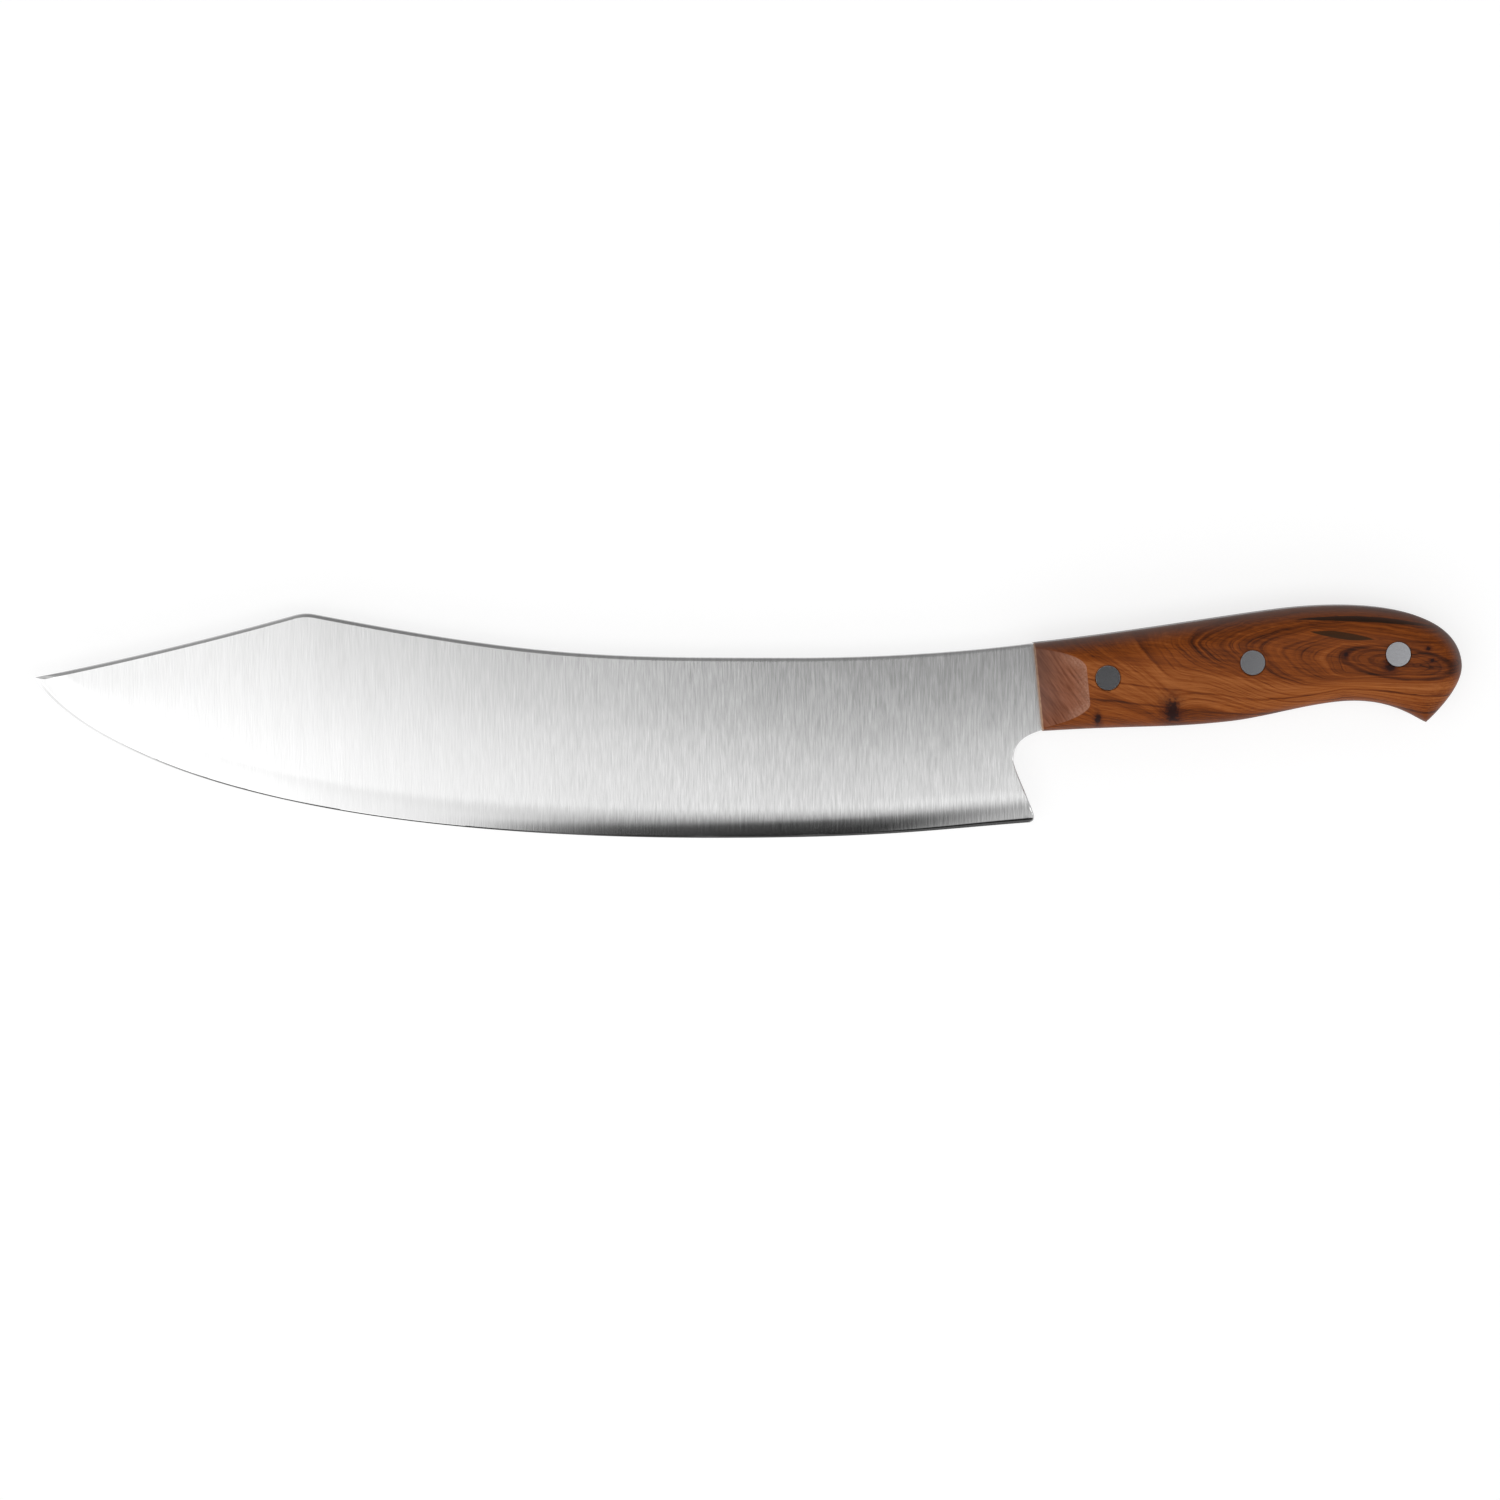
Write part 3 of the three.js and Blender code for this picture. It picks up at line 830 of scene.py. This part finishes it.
def handle_wood(side):
    """Oiled hardwood: arched growth lines, fibres, pores, dark lenses, a loop and knots."""
    material, tree, shader = new_material(f"handle_wood_{side}")
    figure = FIGURE[side]
    u, v, w = millimetres(tree, HANDLE_FRAME)
    w = w.abs()
    p, q = leaning(u, v, figure["heart"])
    q = q + (w - HALF_GRIP) * DEPTH_LEAN
    tail = (u - HOLLOW_START).maximum(0).minimum(HOLLOW_RUN)
    q = q - tail * tail * HOLLOW_LIFT * v.stepped(-3, -11)
    reaches = [knot_reach(u, v, knot) for knot in figure["knots"]]

    # Growth lines run along contours of one ring field, bent round the knots
    sway = noise(p * 0.03, q * 0.09, w * 0.05)
    ripple = noise(p * 0.13, q * 0.3, w * 0.1)
    front = p.minimum(STRAIGHT_BEHIND + sway * SWAY_REACH)
    arch = (q * q + ARCH_ROUNDING**2).power(0.75) - ARCH_ROUNDING**1.5
    ring = front - arch * (ARCH_BELOW + (ARCH_ABOVE - ARCH_BELOW) * q.stepped(-5, 5))
    ring = ring * RING_SPACING + sway * SWAY_REACH + ripple * 0.7
    for reach, knot in zip(reaches, figure["knots"]):
        ring = ring + KNOT_BEND * knot[3] ** 2 / (reach * reach * KNOT_SPREAD + 1)

    bands = noise(ring * 0.13, p * 0.008, w * 0.02, detail=3, roughness=0.6)
    fine_bands = noise(ring * 0.7, p * 0.02, w * 0.05, detail=3, roughness=0.65)
    late_lines = noise(ring * 0.42 + 40, p * 0.01, w * 0.03).abs().stepped(0.07, 0.0)
    hair_lines = noise(ring * 1.15 + 17, p * 0.01, w * 0.03, detail=1).abs().stepped(0.2, 0.0)
    strength = noise(p * 0.05 + 9, q * 0.1, w * 0.1).stepped(-0.4, 0.3)
    strength = strength * (0.7 + u.stepped(20, 60) * 0.3)
    fibre = noise(p * 0.08, q * 2.1, w * 2.1, detail=3, roughness=0.75)
    pores = noise(p * 0.3, q * 3.2, w * 3.2).stepped(0.22, 0.6)
    tone = 0.56 + bands * 0.26 + fine_bands * 0.36 + fibre * 0.34
    tone = tone - late_lines * strength * 0.3 - hair_lines * strength * 0.09 - pores * 0.2

    # Paler wood below the first seam, with a dark line along each seam
    seams = figure["seams"]
    pale = q.stepped(seams[0] + 8, seams[0] + 4) * q.stepped(seams[1] - 1, seams[1] + 3)
    tone = tone + pale * 0.22 - v.stepped(-9, -15) * 0.07 - q.stepped(-8, -4) * 0.05
    for place in seams:
        seam = (q + ripple * 0.7 - place).abs().stepped(0.5, 0.1)
        tone = tone - seam * (0.6 + sway * 0.8).clamped() * 0.4

    # Loop of dark heartwood round the rear rivet
    lp, lq = leaning(u, v, figure["loop"])
    lq = lq + ripple * 0.5
    a, b = figure["loop"][2:]
    loop = ((lp / a) * (lp / a) + (lq / b) * (lq / b)).sqrt()
    rim = (loop - 1).abs().stepped(0.14, 0.02) * (0.65 + ripple * 0.6).clamped()
    nested = noise(loop * 5, lp * 0.03, w * 0.05).abs().stepped(0.2, 0.0)
    within = loop.stepped(1.05, 0.75)
    tone = tone - within * (0.02 + nested * 0.16) - rim * 0.46
    colour = ramped(tone.clamped(), *WOOD_TONES)

    # Dark lens and streak in the grain
    for name, dark in (("lens", LENS_BROWN), ("streak", STREAK_BROWN)):
        cu, cv, length, width, slope, bow = figure[name]
        sp, sq = leaning(u, v, (cu, cv))
        sq = sq - sp * slope - sp * sp * bow + ripple * 0.25
        swell = 1 - (sp / length) * (sp / length)
        inside = (swell * width - sq.abs()).stepped(-0.12, 0.16)
        colour = mixed(colour, dark, inside * (0.94 + fibre * 0.25).clamped())

    # Knots: dark cores in a brown halo
    ragged = ripple * 0.5 + noise(u * 0.9, v * 0.9, w * 0.9, detail=3, roughness=0.6) * 0.9
    for reach in reaches:
        halo = (reach + ragged).stepped(2.6, 0.6)
        core = (reach + ragged).stepped(1.3, 0.5)
        colour = mixed(colour, KNOT_HALO, halo * 0.6)
        colour = mixed(colour, KNOT_CORE, core * 0.92)

    # Front facet: cut across the grain, so paler and matt, with a painted glint along its crease
    inside = facet_inside(u, v)
    facet = inside.stepped(-0.01, 0.03) * u.stepped(FACET_RUN, FACET_RUN - 0.3)
    cross = noise(u * 1.25 + v * 0.74, v * 0.06 - u * 0.035, w, detail=3, roughness=0.65)
    speck = noise(u * 1.7, v * 1.7, w * 1.7, roughness=0.7)
    colour = mixed(colour, mixed(FACET_DARK, FACET_PALE, 0.5 + cross), facet * 0.88)
    # Painted highlight: pale specks along the facet's crease stand in for light glinting off its edge
    crease_glint = inside.stepped(0.7, 0.05) * facet * u.stepped(5.0, 12.0)
    colour = mixed(colour, CREASE_GLINT, crease_glint * (0.45 + speck * 0.7).clamped() * 0.7)

    # Painted sheen: the rim of the roundings a little paler and duller. Painted highlight: the front
    # edge pale
    wall = STOCK / 2 + SCALE_WALL
    rim_painted_sheen = w.stepped(wall + 6, wall + 2.5) * v.stepped(-12, -4)
    colour = mixed(colour, RIM_SHEEN_GREY, rim_painted_sheen * (0.6 + u.stepped(112, 124) * 0.25))
    colour = mixed(colour, FRONT_HIGHLIGHT, u.stepped(0.5, 0.2) * (0.6 + speck * 0.8).clamped())

    # Painted shade: the upper roundings darker, as the side of the handle turned away from the light
    top_painted_shade = (HALF_GRIP - w).stepped(0.0, 4.5) * v.stepped(0.0, 6.0)
    colour = mixed(colour, TOP_SHADE_BROWN, top_painted_shade * 0.34)

    tree.links.new(colour, shader.inputs["Base Color"])
    rough = 0.42 + fibre * 0.07 + pores * 0.1 + facet * 0.16 + rim_painted_sheen * 0.08
    tree.links.new(rough.socket, shader.inputs["Roughness"])
    shader.inputs["Specular IOR Level"].default_value = 0.15
    relief = fibre * 0.5 - pores + late_lines * 0.4 + facet * speck * 0.8
    bumped(tree, shader, relief, WOOD_RELIEF)
    return material


def rivet_metal():
    """Matt ground metal with fine crossing scratches."""
    material, tree, shader = new_material("rivet_metal")
    x, y, z = millimetres(tree, HANDLE_FRAME)
    grit = noise(x * 1.6, y * 1.6, z * 0.2, detail=4, roughness=0.7)
    scratch = noise(x * 7 + y * 5, y * 0.5 - x * 0.6, z * 0.2)
    tone = 0.5 + grit * 0.45 + scratch * 0.2
    tree.links.new(mixed(RIVET_DARK, RIVET_BRIGHT, tone), shader.inputs["Base Color"])
    shader.inputs["Metallic"].default_value = 1
    rough = 0.1 + grit * 0.02
    tree.links.new(rough.socket, shader.inputs["Roughness"])
    bumped(tree, shader, scratch, SCRATCH_DEPTH)
    return material


def floor_paper():
    """White paper that keeps the object's shadow."""
    material, tree, shader = new_material("floor_paper")
    shader.inputs["Base Color"].default_value = PAPER_GREY
    shader.inputs["Roughness"].default_value = 1
    shader.inputs["Specular IOR Level"].default_value = 0
    path = tree.nodes.new("ShaderNodeLightPath")
    camera_ray, glossy_ray, transmission_ray = [
        Field(tree, path.outputs[f"Is {kind} Ray"]) for kind in ("Camera", "Glossy", "Transmission")
    ]
    lift = (camera_ray + glossy_ray + transmission_ray).clamped() * FLOOR_LIFT
    shader.inputs["Emission Color"].default_value = WHITE
    tree.links.new(lift.socket, shader.inputs["Emission Strength"])
    return material


# Pieces

steel = blade_steel()
rivet = rivet_metal()


def blade_maps(piece):
    """Two maps: brush runs along the blade, and grind counts millimetres up from the edge."""
    mesh = piece.data
    points = np.empty(3 * len(mesh.vertices))
    mesh.vertices.foreach_get("co", points)
    corners = np.empty(len(mesh.loops), int)
    mesh.loops.foreach_get("vertex_index", corners)
    x, y, z = ((points.reshape(-1, 3) - FRONT) / MM)[corners].T
    maps = {"brush": (x, y + z / 2), "grind": (x, y - edge.height(x))}
    for name, flat in maps.items():
        layer = mesh.uv_layers.new(name=name)
        layer.data.foreach_set("uv", np.stack(flat, axis=-1).ravel())


blade = placed("blade_fine", skinned(blade_rings()), BLADE_FRAME, BLADE_CREASE)
blade_maps(blade)
finished(blade, "blade", steel)

rear_rivet_x = HANDLE_LENGTH - REAR_RIVET_FROM_BUTT
RIVETS = {
    "front": (FRONT_RIVET_BACK, FRONT_RIVET_RISE),
    "middle": ((FRONT_RIVET_BACK + rear_rivet_x) / 2, MIDDLE_RIVET_RISE),
    "rear": (rear_rivet_x, REAR_RIVET_RISE),
}
HEAD_FLOOR = HALF_GRIP - RIVET_HEAD_THICKNESS
SIDES = {"left": 1, "right": -1}
HALVES = {"left": "female", "right": "male"}


def rivet_spot(name, side):
    """Frame of one rivet half, with z out of that side of the knife."""
    x, y = RIVETS[name]
    mirror = Matrix.Scale(SIDES[side], 4, (0, 0, 1))
    return HANDLE_FRAME @ Matrix.Translation((x, y, 0)) @ mirror


def head_drill(name, side):
    """Cutter for the seat of a rivet's head."""
    reach = RIVET_HEAD / 2 + HEAD_GAP
    clear = HALF_GRIP + DRILL_OVERRUN
    profile = [(0, HEAD_FLOOR), (reach, HEAD_FLOOR), (reach, clear), (0, clear)]
    body = turned_body(profile, RIVET_SIDES)
    return placed("drill", body, rivet_spot(name, side), PLAIN_CREASE)


def rivet_half(name, side):
    """Head and shank of one half, with a fine chamfer round its face."""
    head = RIVET_HEAD / 2
    profile = [
        (0, 0),
        (RIVET_SHANK / 2, 0),
        (RIVET_SHANK / 2, HEAD_FLOOR),
        (head, HEAD_FLOOR),
        (head, HALF_GRIP - RIVET_CHAMFER),
        (head - RIVET_CHAMFER, HALF_GRIP),
        (0, HALF_GRIP),
    ]
    body = turned_body(profile, RIVET_SIDES)
    return placed(f"rivet_{name}_{side}", body, rivet_spot(name, side), RIVET_CREASE)


for side, sign in SIDES.items():
    rings = scale_rings() * np.array([1, 1, sign])
    scale = placed(f"scale_{side}_fine", skinned(rings, cap_first=True), HANDLE_FRAME, SCALE_CREASE)
    cut(scale, [head_drill(name, side) for name in RIVETS])
    finished(scale, f"scale_{side}", handle_wood(side))
    for name in RIVETS:
        finished(rivet_half(name, side), f"rivet_{name}_{HALVES[side]}", rivet)


# Stage, light and camera

# Brightness of the panels round the object, and the share that each dark strip takes away
CEILING_LEVEL = 0.045
LEFT_LEVEL = 1.35
TIP_LEVEL = 0.25
RIGHT_LEVEL = 0.85
NEAR_LEVEL = 1.15
FAR_LEVEL = 0.4
WALL_LEVEL = 0.25
HORIZON_LEVEL = 0.85
SHELF_SHADE = 0.45
BRINK_SHADE = 0.75
STRIP_SHADE = 0.97
BEHIND_SHADE = 0.85
FLATTEST_VIEW = 0.05


def stage():
    body = bmesh.new()
    bmesh.ops.create_grid(body, x_segments=1, y_segments=1, size=FLOOR_HALF)
    floor = placed("floor", body, Matrix.Identity(4), PLAIN_CREASE)
    floor.data.materials.append(floor_paper())


def studio():
    """Bright panels overhead with a dim gap between them, dark strips, and plain walls."""
    world = bpy.data.worlds.new("studio")
    bpy.context.scene.world = world
    world.use_nodes = True
    tree = world.node_tree
    coordinates = tree.nodes.new("ShaderNodeTexCoord")
    split = tree.nodes.new("ShaderNodeSeparateXYZ")
    tree.links.new(coordinates.outputs["Generated"], split.inputs[0])
    x, y, z = [Field(tree, out) for out in split.outputs]
    up = z.abs().maximum(FLATTEST_VIEW)
    along = x / up
    across = y / up

    # Panels overhead, that the flanks of the blade reflect
    left = along.stepped(0.035, -0.168)
    right = along.stepped(0.085, 0.19)
    nearer = across.stepped(-0.092, -0.155) * (0.4 + across.stepped(-0.6, -0.3) * 0.6)
    tip_end = along.stepped(-0.1, -0.16) * along.stepped(-0.4, -0.25)
    ceiling = CEILING_LEVEL + left * LEFT_LEVEL + tip_end * TIP_LEVEL
    ceiling = ceiling + right * RIGHT_LEVEL + nearer * NEAR_LEVEL

    # Dark strips, that the bevel and the fine edge reflect
    shelf = across.stepped(-0.132, -0.162) * across.stepped(-0.5, -0.36) * along.stepped(0.08, -0.02)
    deep = across.stepped(-0.15, -0.36) * along.stepped(-0.08, -0.035) * along.stepped(0.11, 0.04)
    brink = across.stepped(-0.25, -0.3) * along.stepped(-0.085, -0.065) * along.stepped(0.05, 0.01)
    strip = 1 - (1 - shelf * SHELF_SHADE) * (1 - deep) * (1 - brink * BRINK_SHADE)
    sill = across.stepped(-0.45, -0.6) * (0.3 + along.stepped(-0.48, -0.34) * 0.7)
    lower = across.stepped(-1.2, -0.9)
    behind = across.stepped(0.05, 0.6)
    ceiling = ceiling * (1 - strip.maximum(sill) * lower * STRIP_SHADE) * (1 - behind * BEHIND_SHADE)

    # Walls, a panel high at the back, and an even horizon
    walls = WALL_LEVEL + y.stepped(0.35, -0.35) * 0.6 + x.stepped(0.2, -0.6) * 0.2
    far = across.stepped(0.5, 0.9) * z.stepped(0.48, 0.62)
    low = z.stepped(0.82, 0.6)
    horizon = z.stepped(0.3, 0.1)
    strength = ceiling * (1 - low) + walls * low + far * FAR_LEVEL
    strength = strength * (1 - horizon) + horizon * HORIZON_LEVEL
    tree.links.new(strength.socket, tree.nodes["Background"].inputs["Strength"])
    tree.nodes["Background"].inputs["Color"].default_value = WHITE


def camera():
    """The photograph's view: the same pixel scale, square on but for a slight lean."""
    data = bpy.data.cameras.new("camera")
    eye = bpy.data.objects.new("camera", data)
    bpy.context.scene.collection.objects.link(eye)
    middle = FRONT + Vector((
        (PHOTO_SIZE / 2 - PHOTO_FRONT[0]) * PHOTO_SCALE * MM,
        (PHOTO_FRONT[1] - PHOTO_SIZE / 2) * PHOTO_SCALE * MM,
        0,
    ))
    data.sensor_width = data.sensor_height = SENSOR
    data.lens = SENSOR * CAMERA_DISTANCE / (PHOTO_SIZE * PHOTO_SCALE * MM)
    away = Vector((0, math.sin(CAMERA_LEAN), math.cos(CAMERA_LEAN)))
    eye.location = middle + CAMERA_DISTANCE * away
    eye.rotation_euler = (-CAMERA_LEAN, 0, 0)
    bpy.context.scene.camera = eye


stage()
studio()
camera()
bpy.context.scene.view_settings.view_transform = "Standard"
